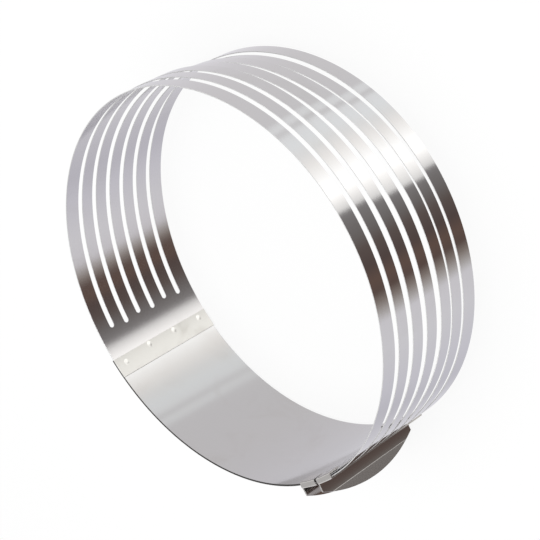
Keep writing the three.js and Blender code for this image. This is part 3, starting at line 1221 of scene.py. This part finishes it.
@dataclass
class FingerClip:
    """A folded clip: a base with hooks over both rims, and a finger wing at one side.

    Attributes:
        ring: The ring.
        node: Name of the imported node.
        body: Body that the clip rides on.
        span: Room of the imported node.
        flare: Turn of the wing at its ridge, positive towards the base.
        width: Length of the clip along the ring.
        hook_depth: Reach of the tabs inside the ring, from the rim.
        root_bend: Inside radius of the bend at the wing's root.
        ridge: From the outside of the base to the ridge.
        reach: From the outside of the base to the top of the half-moon.
        shoulder: Straight end edges below the half-moon.
        fold_bend: Radius of the folds over the rims, in the middle of the sheet.
        hollow: Turn of the wing at its root, against the flare; it fades out towards the ridge.
        crease: Turn in the middle of the ridge's crease, beyond the flare.
        crease_width: Width of that crease.
        shear: How far out of square the base's free end is sheared.
        shear_from: Height over the lower rim from which it is; below, it runs out to square.
        fold_steps: Steps of the mesh round a fold over a rim.
        tab_rows: Rows of the mesh down a tab.
        base_rows: Rows of the mesh up the base and the wing.
        base_step: Angle between columns of the mesh on the base.
        bend_steps: Steps of the mesh round the bend at the wing's root.
        plane_steps: Steps in which the wing's plan is drawn.
        face_steps: Columns of the mesh from the root to the crease, across it and from there to the edge.
    """

    ring: Ring
    node: str
    body: Body
    span: Span
    flare: float
    width: float = 15.0 * MM
    hook_depth: float = 8.0 * MM
    root_bend: float = 0.1 * MM
    ridge: float = 8.4 * MM
    reach: float = 15.4 * MM
    shoulder: float = 5.2 * MM
    fold_bend: float = 0.7 * MM
    hollow: float = math.radians(9)
    crease: float = math.radians(5)
    crease_width: float = 0.8 * MM
    shear: float = math.radians(7)
    shear_from: float = 40.0 * MM
    fold_steps: int = 5
    tab_rows: int = 4
    base_rows: int = 72
    base_step: float = math.radians(0.8)
    bend_steps: int = 8
    plane_steps: int = 180
    face_steps: int = 12

    @property
    def start(self) -> float:
        """Angle of the wing's outer face at its root."""
        return self.span.end - self.ring.turn(self.width)

    @property
    def middle_radius(self) -> float:
        """Radius of the middle of the base's sheet."""
        return self.ring.clip_inner + self.ring.clip_sheet / 2

    def _section(self) -> tuple[np.ndarray, list[int]]:
        """Section through base and hooks, from the lower tab's end round to the upper tab's end.

        Returns:
            Rows of radius and height in the middle of the sheet, and the numbers of the rows on the straight
            base.
        """
        ring, bend = self.ring, self.fold_bend
        tab = ring.hook_outer - ring.clip_sheet / 2
        over = ring.rim_clearance + ring.clip_sheet / 2
        steps = np.linspace(0, math.pi / 2, self.fold_steps + 1)
        top = ring.high + over - bend
        base = [(self.middle_radius, z) for z in np.linspace(ring.low - over + bend, top, self.base_rows)]
        corner = self.middle_radius - bend
        outer = [(corner + bend * math.cos(a), top + bend * math.sin(a)) for a in steps[1:]]
        inner = [(tab + bend - bend * math.sin(a), top + bend * math.cos(a)) for a in steps]
        down = [(tab, z) for z in np.linspace(top, ring.high - self.hook_depth, self.tab_rows)[1:]]
        upper = outer + inner + down
        lower = [(radius, ring.low + ring.high - z) for radius, z in reversed(upper)]
        first = len(lower)
        return np.array(lower + base + upper), list(range(first, first + self.base_rows))

    def _wing_path(self) -> np.ndarray:
        """Middle of the sheet in plan, from the base out to the half-moon's top and a little past it.

        Returns:
            Rows of distance outwards from the base's middle and distance along the ring.
        """
        half = self.ring.clip_sheet / 2
        bend = self.root_bend + half
        sign = math.copysign(1, self.flare)
        turn = np.linspace(0, math.pi / 2, self.bend_steps + 1)
        root = np.stack([bend - bend * np.cos(turn), half + bend - bend * np.sin(turn)], 1)
        length = np.linspace(0, self.reach + half - bend, self.plane_steps + 1)
        past = length + bend - half - self.ridge
        rise = np.clip(past / self.crease_width + 0.5, 0, 1)
        lean = abs(self.flare) * rise + self.crease * np.sin(math.pi * rise) ** 2
        lean -= self.hollow * np.clip(1 - length / (length - past), 0, 1)
        step = np.diff(length)
        middle = sign * (lean[1:] + lean[:-1]) / 2
        run = np.stack([np.cumsum(step * np.cos(middle)), np.cumsum(step * np.sin(middle))], 1)
        return np.concatenate([root, root[-1] + run])

    def _outline(self, height: np.ndarray) -> np.ndarray:
        """How far out the wing reaches.

        Args:
            height: Heights of its rows.

        Returns:
            The reach at each height, from the middle of the base's sheet.
        """
        half = self.ring.height / 2
        top = self.ridge + (self.reach - self.ridge) * math.cos(self.flare)
        rise = top - self.shoulder
        radius = (half**2 + rise**2) / (2 * rise)
        off = np.clip(height - self.ring.middle.z, -half, half)
        drop = radius - np.sqrt(radius**2 - off**2)
        return self.ring.clip_sheet / 2 + top - drop

    def _shear_end(self, mesh: bpy.types.Mesh) -> None:
        """Sets the outer side of the base's free end back a little, as the shears leave it.

        Args:
            mesh: The clip's mesh.
        """
        points = mesh_points(mesh)
        radius, angle = polar(points, self.ring.axis, CUT_AT_BACK)
        at_end = angle > self.span.end - self.ring.turn(self.ring.clip_sheet / 2)
        back = np.clip(radius - self.ring.clip_inner, 0, self.ring.clip_sheet) * math.tan(self.shear)
        back *= np.clip((points[:, 2] - self.ring.low) / self.shear_from, 0, 1) ** 2
        sheared = self.ring.points(radius, angle - self.ring.turn(back), points[:, 2])
        points[at_end] = sheared[at_end]
        mesh.vertices.foreach_set("co", points.astype(np.float32).ravel())
        mesh.update()

    def _wing(self, height: np.ndarray) -> np.ndarray:
        """Points of the wing.

        Args:
            height: Heights of its rows.

        Returns:
            Points by column, from the tip to the root, and by row.
        """
        path = self._wing_path()
        limit = self._outline(height)
        foot = path[self.bend_steps, 0]
        ridge = self.ridge + self.ring.clip_sheet / 2
        crease = [np.minimum(ridge + side * self.crease_width / 2, limit) for side in (-1, 1)]
        share = np.linspace(0, 1, self.face_steps + 1)[1:, None]
        out = np.concatenate([
            np.broadcast_to(path[: self.bend_steps + 1, 0][:, None], (self.bend_steps + 1, len(height))),
            foot + share * (crease[0] - foot),
            crease[0] + share * (crease[1] - crease[0]),
            crease[1] + share * (limit - crease[1]),
        ])
        along = np.interp(out, path[self.bend_steps:, 0], path[self.bend_steps:, 1])
        along[: self.bend_steps] = path[: self.bend_steps, 1][:, None]
        outwards = np.array((math.cos(self.start), math.sin(self.start)))
        beside = np.array((-outwards[1], outwards[0]))
        root = self.middle_radius * outwards + np.array(self.ring.axis.xy)
        plan = root + out[..., None] * outwards + along[..., None] * beside
        heights = np.broadcast_to(height, out.shape)
        return np.concatenate([plan, heights[..., None]], -1)[::-1]

    def build(self, finishes: Finishes) -> None:
        """Makes the clip and puts it in the node's place.

        Args:
            finishes: The materials.
        """
        section, on_base = self._section()
        half = self.ring.clip_sheet / 2
        base_start = self.start + self.ring.turn(2 * half + self.root_bend)
        angle = stations(base_start, self.span.end, self.base_step)
        saddle = self.ring.points(section[None, :, 0], angle[:, None], section[None, :, 1])
        wing = self._wing(section[on_base, 1])
        wing[-1] = saddle[0, on_base]
        rows = section.shape[0]
        faces = SheetMaker.faces(len(angle), rows, range(rows - 1))
        faces += SheetMaker.faces(len(wing), len(on_base), range(len(on_base) - 1), saddle.shape[0] * rows)
        points = np.concatenate([saddle.reshape(-1, 3), wing.reshape(-1, 3)])
        maker = SheetMaker(self.ring, self.ring.clip_sheet)
        piece = maker.build(f"{self.node}_pressing", points, faces, CUT_AT_BACK)
        self._shear_end(piece.data)
        dress(piece, Steel.CLIP, finishes.clip, finishes.clip)
        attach(piece, self.body.value)
        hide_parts(self.node)


# Spot welds


@dataclass(frozen=True)
class Pips:
    """Shape of the pips on a row of welds.

    Attributes:
        inner_dome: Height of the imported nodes' domes inside the ring.
        outer_dome: Height of their domes outside the ring.
        spread: Length of a pip's foot along the ring, in widths of the weld.
        rise: Its height up the wall, in widths of the weld.
        droop: How far a pip's top lies below the weld's middle.
        share: Height of a pip that shows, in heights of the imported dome.
        sunk: Depth of its foot below the face of the sheet.
    """

    inner_dome: float
    outer_dome: float
    spread: float = 1.0
    rise: float = 1.0
    droop: float = 0.0
    share: float = 0.38
    sunk: float = 0.012 * MM


@dataclass
class SpotWeld:
    """One spot weld: a low bell-shaped pip on each end that shows.

    Attributes:
        ring: The ring.
        node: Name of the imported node.
        body: Body that the weld rides on.
        span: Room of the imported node.
        pips: Shape of its two ends.
        sides: Columns of the mesh round a pip.
        rings: Steps of the mesh from a pip's top to its foot.
        crease: Turn from which an edge is drawn sharp.
    """

    ring: Ring
    node: str
    body: Body
    span: Span
    pips: Pips
    sides: int = 32
    rings: int = 10
    crease: float = math.radians(35)

    def _profile(self) -> np.ndarray:
        """Profile from the inner end to the outer one.

        Returns:
            Rows of distance from the weld's axis and ring radius.
        """
        pips = self.pips
        half = (self.span.high - self.span.low) / 2
        share = np.linspace(0, 1, self.rings + 1)
        bell = (1 + np.cos(math.pi * share)) / 2
        inner_foot = self.span.inner + pips.inner_dome + pips.sunk
        outer_foot = self.span.outer - pips.outer_dome - pips.sunk
        inner = inner_foot - (pips.share * pips.inner_dome + pips.sunk) * bell
        outer = outer_foot + (pips.share * pips.outer_dome + pips.sunk) * bell
        first = np.stack([half * share, inner], 1)
        last = np.stack([half * share, outer], 1)[::-1]
        return np.concatenate([first, last])

    def build(self, finishes: Finishes) -> None:
        """Makes the weld and puts it in the node's place.

        Args:
            finishes: The materials.
        """
        reach, radius = self._profile().T
        around = np.linspace(0, 2 * math.pi, self.sides, endpoint=False)
        along = self.pips.spread / self.span.inner
        angle = self.span.middle + along * np.outer(reach, np.cos(around))
        height = self.span.height + self.pips.rise * np.outer(reach, np.sin(around))
        height -= self.pips.droop * (1 - reach / reach.max())[:, None]
        grid = self.ring.points(radius[:, None], angle, height)
        faces = []
        for row in range(len(reach) - 1):
            near, far = row * self.sides, (row + 1) * self.sides
            for side in range(self.sides):
                after = (side + 1) % self.sides
                faces.append((near + side, near + after, far + after, far + side))
        name = f"{self.node}_pip"
        mesh = bpy.data.meshes.new(name)
        mesh.from_pydata(grid.reshape(-1, 3).tolist(), [], faces)
        clean(mesh)
        mesh.set_sharp_from_angle(angle=self.crease)
        unroll(mesh, self.ring, CUT_AT_BACK)
        piece = add_object(name, mesh)
        dress(piece, Steel.WELD, finishes.weld)
        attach(piece, self.body.value)
        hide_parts(self.node)


# Studio


@dataclass(frozen=True)
class Panel:
    """One stop of the studio's ring of panels, which the steel mirrors.

    Attributes:
        bearing_deg: Direction of the stop, from the edge between the dark gap and the bright panel.
        colour: Light that comes from there.
    """

    bearing_deg: float
    colour: tuple[float, float, float]


@dataclass
class Studio:
    """Soft light all round with one bright panel beside a dark gap, a soft lamp overhead and a pale floor.

    Attributes:
        ring: The ring.
        panels: The ring of panels, once round.
        edge_levels_deg: Two elevations between which the bright panel's sharp edge leans.
        edge_bearings_deg: Directions of that edge at these levels, in degrees from +X.
        gap_levels_deg: Two elevations between which the dark gap narrows.
        gap_narrowing: How many times narrower it is at these levels.
        lean: How fast the bright panels narrow upwards, per degree.
        lean_level_deg: Elevation at which their bearings hold.
        dim_from_deg: Elevation below which the light fades.
        dim_to_deg: Elevation at which it is faintest.
        dim_share: Share of the light that is left there.
        panel_top_deg: Elevation at which the panels begin to pass into the white backdrop.
        backdrop_foot_deg: Elevation from which the backdrop is plain white.
        backdrop_top_deg: Elevation above which it passes into the duller ceiling.
        ceiling_deg: Elevation from which the ceiling is even.
        ceiling_share: Light of the ceiling, as a share of the backdrop's.
        floor_size: Length of the floor's sides.
        floor_white: How pale the floor is.
        floor_glow: Share of the floor's look that is plain white.
        lamp_height: From the middle of the ring to the lamp.
        lamp_size: Width of the lamp.
        lamp_watts: Power of the lamp.
    """

    ring: Ring
    panels: tuple[Panel, ...] = (
        Panel(-180, (0.8, 0.79, 0.83)),
        Panel(-150, (0.75, 0.74, 0.79)),
        Panel(-130, (0.71, 0.7, 0.76)),
        Panel(-108, (0.81, 0.8, 0.86)),
        Panel(-80, (0.89, 0.88, 0.91)),
        Panel(-62, (0.87, 0.85, 0.88)),
        Panel(-57, (0.6, 0.57, 0.55)),
        Panel(-51, (0.33, 0.28, 0.25)),
        Panel(-45, (0.145, 0.1, 0.085)),
        Panel(-38, (0.17, 0.112, 0.09)),
        Panel(-30, (0.12, 0.088, 0.08)),
        Panel(-20, (0.15, 0.118, 0.106)),
        Panel(-12, (0.215, 0.198, 0.19)),
        Panel(-3.2, (0.28, 0.265, 0.26)),
        Panel(-0.4, (0.37, 0.355, 0.35)),
        Panel(0.6, (1.0, 0.99, 0.96)),
        Panel(8, (1.45, 1.43, 1.38)),
        Panel(14, (1.8, 1.8, 1.75)),
        Panel(22, (1.62, 1.62, 1.58)),
        Panel(29, (1.4, 1.38, 1.33)),
        Panel(35, (1.24, 1.215, 1.17)),
        Panel(42, (1.1, 1.1, 1.08)),
        Panel(49, (1.09, 1.115, 1.115)),
        Panel(56.5, (1.06, 1.07, 1.07)),
        Panel(58.5, (0.86, 0.85, 0.85)),
        Panel(60.3, (0.86, 0.85, 0.85)),
        Panel(61.6, (1.03, 1.035, 1.035)),
        Panel(66.2, (1.0, 1.01, 1.01)),
        Panel(67.6, (0.86, 0.845, 0.85)),
        Panel(110, (0.855, 0.835, 0.845)),
        Panel(150, (0.86, 0.84, 0.87)),
        Panel(180, (0.8, 0.79, 0.83)),
    )
    edge_levels_deg: tuple[float, float] = (-42.0, -37.5)
    edge_bearings_deg: tuple[float, float] = (2.7, -1.0)
    gap_levels_deg: tuple[float, float] = (-42.0, -37.5)
    gap_narrowing: tuple[float, float] = (1.0, 1.29)
    lean: float = 0.02
    lean_level_deg: float = -45.0
    dim_from_deg: float = -46.5
    dim_to_deg: float = -60.0
    dim_share: float = 0.3
    panel_top_deg: float = -7.0
    backdrop_foot_deg: float = -2.5
    backdrop_top_deg: float = 15.0
    ceiling_deg: float = 32.0
    ceiling_share: float = 0.65
    floor_size: float = 12.0
    floor_white: float = 0.86
    floor_glow: float = 0.86
    lamp_height: float = 1.1
    lamp_size: float = 1.2
    lamp_watts: float = 9.0

    def build(self) -> None:
        """Makes the world, the lamp and the floor."""
        self._world()
        self._lamp()
        self._floor()

    def _world(self) -> None:
        """Light from all round by bearing, under a white backdrop that the camera and the steel both see."""
        world = bpy.data.worlds.new("studio")
        bpy.context.scene.world = world
        world.use_nodes = True
        made = NodeTree(world.node_tree)
        direction = made.add("ShaderNodeTexCoord").outputs["Generated"]
        split = made.add("ShaderNodeSeparateXYZ", inputs={0: direction})
        bearing = made.degrees(made.math("ARCTAN2", split.outputs["Y"], split.outputs["X"]))
        level = made.degrees(made.math("ARCSINE", split.outputs["Z"]))
        panels = self._panel_light(made, bearing, level)
        dim = made.between(level, (self.dim_to_deg, self.dim_from_deg), (self.dim_share, 1.0), Course.SMOOTH)
        backdrop = made.between(level, (self.panel_top_deg, self.backdrop_foot_deg), course=Course.SMOOTH)
        rise = (self.backdrop_top_deg, self.ceiling_deg)
        ceiling = made.between(level, rise, (1.0, self.ceiling_share), Course.SMOOTH)
        studio = made.add("ShaderNodeBackground", inputs={"Color": panels, "Strength": dim})
        white = made.add("ShaderNodeBackground", inputs={"Color": (1, 1, 1, 1), "Strength": ceiling})
        both = {0: backdrop, 1: studio.outputs[0], 2: white.outputs[0]}
        mixed = made.add("ShaderNodeMixShader", inputs=both)
        made.add("ShaderNodeOutputWorld", inputs={"Surface": mixed.outputs[0]})

    def _panel_light(self, made: NodeTree, bearing: NodeSocket, level: NodeSocket) -> NodeSocket:
        """Light of the ring of panels.

        Args:
            made: The world's tree.
            bearing: Direction in degrees from +X.
            level: Elevation in degrees.

        Returns:
            The colour that comes from there.
        """
        half_turn = FULL_TURN_DEG / 2
        edge = made.between(level, self.edge_levels_deg, self.edge_bearings_deg)
        beside = made.math("WRAP", made.math("SUBTRACT", bearing, edge), half_turn, -half_turn)
        above = made.math("MULTIPLY", made.math("SUBTRACT", level, self.lean_level_deg), self.lean)
        narrowing = made.add(
            "ShaderNodeMix",
            inputs={
                "Factor": made.math("LESS_THAN", beside, 0.0),
                "A": made.math("ADD", above, 1.0),
                "B": made.between(level, self.gap_levels_deg, self.gap_narrowing),
            },
        )
        leaning = made.math("MULTIPLY", beside, narrowing.outputs["Result"])
        share = made.math("ADD", made.math("DIVIDE", leaning, FULL_TURN_DEG), 0.5)
        ramp = made.add("ShaderNodeValToRGB", inputs={"Fac": share})
        stops = ramp.color_ramp.elements
        while len(stops) < len(self.panels):
            stops.new(0.5)
        for stop, panel in zip(stops, self.panels):
            stop.position = panel.bearing_deg / FULL_TURN_DEG + 0.5
            stop.color = (*panel.colour, 1.0)
        return ramp.outputs["Color"]

    def _lamp(self) -> None:
        """One large soft lamp over the ring."""
        lamp = bpy.data.lights.new("overhead_softbox", "AREA")
        lamp.shape = "DISK"
        lamp.size = self.lamp_size
        lamp.energy = self.lamp_watts
        holder = add_object("overhead_softbox", lamp)
        holder.location = self.ring.middle + Vector((0, 0, self.lamp_height))

    def _floor(self) -> None:
        """A pale floor that keeps a faint shadow. The steel mirrors the studio and not the floor."""
        half = self.floor_size / 2
        mesh = bpy.data.meshes.new("floor")
        corners = [(-half, -half, 0), (half, -half, 0), (half, half, 0), (-half, half, 0)]
        mesh.from_pydata(corners, [], [(0, 1, 2, 3)])
        floor = add_object("floor", mesh)
        material = bpy.data.materials.new("pale_floor")
        material.use_nodes = True
        made = NodeTree(material.node_tree)
        matt = made.add("ShaderNodeBsdfDiffuse", inputs={"Color": (self.floor_white,) * 3 + (1.0,)})
        glow = made.add("ShaderNodeEmission", inputs={"Color": (1, 1, 1, 1), "Strength": 1.0})
        ray = made.add("ShaderNodeLightPath").outputs
        mirrored = made.math("MAXIMUM", ray["Is Glossy Ray"], ray["Is Transmission Ray"])
        seen = made.math("MAXIMUM", ray["Is Camera Ray"], mirrored)
        share = made.math("MULTIPLY", seen, self.floor_glow)
        mixed = made.add("ShaderNodeMixShader", inputs={0: share, 1: matt.outputs[0], 2: glow.outputs[0]})
        made.add("ShaderNodeOutputMaterial", inputs={"Surface": mixed.outputs[0]})
        mesh.materials.append(material)
        floor.visible_glossy = False


@dataclass(frozen=True)
class PhotoCamera:
    """The photograph's viewpoint.

    Attributes:
        azimuth_deg: Side that the camera stands on: 0 looks along +Y, 90 along -X.
        elevation_deg: Height above the horizon.
        roll_deg: How far the picture's upright leans over to the right.
        distance: From the aim to the camera.
        aim: Point in the middle of the picture, from the middle of the ring.
        lens_mm: Focal length on a sensor of the given width.
        sensor_mm: Width of that sensor.
    """

    azimuth_deg: float = 92.01
    elevation_deg: float = 39.65
    roll_deg: float = 119.91
    distance: float = 1.1136
    aim: tuple[float, float, float] = (2.42 * MM, -5.5 * MM, -2.69 * MM)
    lens_mm: float = 121.0
    sensor_mm: float = 36.0

    def build(self, ring: Ring) -> None:
        """Makes the camera and puts it in charge.

        Args:
            ring: The ring that it looks at.
        """
        azimuth, elevation = math.radians(self.azimuth_deg), math.radians(self.elevation_deg)
        level = math.cos(elevation)
        back = Vector((math.sin(azimuth) * level, -math.cos(azimuth) * level, math.sin(elevation)))
        data = bpy.data.cameras.new("photo_camera")
        data.lens = self.lens_mm
        data.sensor_width = self.sensor_mm
        camera = add_object("photo_camera", data)
        camera.rotation_mode = "QUATERNION"
        camera.location = ring.middle + Vector(self.aim) + back * self.distance
        upright = (-back).to_track_quat("-Z", "Y")
        camera.rotation_quaternion = upright @ Quaternion((0, 0, 1), math.radians(-self.roll_deg))
        bpy.context.scene.camera = camera


# Assembly


@dataclass
class CakeFrame:
    """The whole cake frame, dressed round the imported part.

    Attributes:
        flare: Turn of both wings at their ridges, away from each other.
        seam_pips: Shape of the seam's welds.
        sliding_pips: Shape of the sliding clip's welds.
        end_pips: Shape of the end clip's welds.
        ring: The ring, read from the frame.
    """

    frame: dict
    flare: float = math.radians(2.5)
    seam_pips: Pips = Pips(0.4 * MM, 0.2 * MM, spread=1.5, rise=1.25, droop=0.6 * MM)
    sliding_pips: Pips = Pips(0.0, 0.4 * MM, spread=1.4, rise=1.4)
    end_pips: Pips = Pips(0.2 * MM, 0.0)
    ring: Ring = field(init=False)

    def __post_init__(self) -> None:
        """Reads the ring."""
        self.ring = Ring.from_frame(self.frame)

    def _span(self, node: str, cut: float = CUT_AT_BACK) -> Span:
        """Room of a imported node."""
        return node_span(self.frame["nodes"][node], self.ring.axis, cut)

    def build(self, finishes: Finishes) -> None:
        """Makes every piece.

        Args:
            finishes: The materials.
        """
        sliding = FingerClip(self.ring, "sliding_clip", Body.SLIDER, self._span("sliding_clip"), -self.flare)
        end = FingerClip(self.ring, "end_clip", Body.RING, self._span("end_clip"), self.flare)
        plain = PlainBand(self.ring, self._span("solid_band"), end.start)
        plain.build(finishes)
        slotted = self.frame["nodes"]["slotted_band"]
        SlottedBand.from_node(self.ring, slotted, plain.span.start).build(finishes)
        sliding.build(finishes)
        end.build(finishes)
        rows = (
            ("seam_weld_", Body.RING, self.seam_pips),
            ("sliding_clip_weld_", Body.SLIDER, self.sliding_pips),
            ("end_clip_weld_", Body.RING, self.end_pips),
        )
        for prefix, body, pips in rows:
            for node in sorted(name for name in self.frame["nodes"] if name.startswith(prefix)):
                SpotWeld(self.ring, node, body, self._span(node), pips).build(finishes)


def main() -> None:
    """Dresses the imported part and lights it."""
    logging.basicConfig(level=logging.INFO, format="%(name)s: %(message)s")
    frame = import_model()
    cake_frame = CakeFrame(frame)
    cake_frame.build(Finishes(Effects()))
    Studio(cake_frame.ring).build()
    PhotoCamera().build(cake_frame.ring)
    bpy.context.scene.view_settings.view_transform = "Standard"


if __name__ == "__main__":
    main()
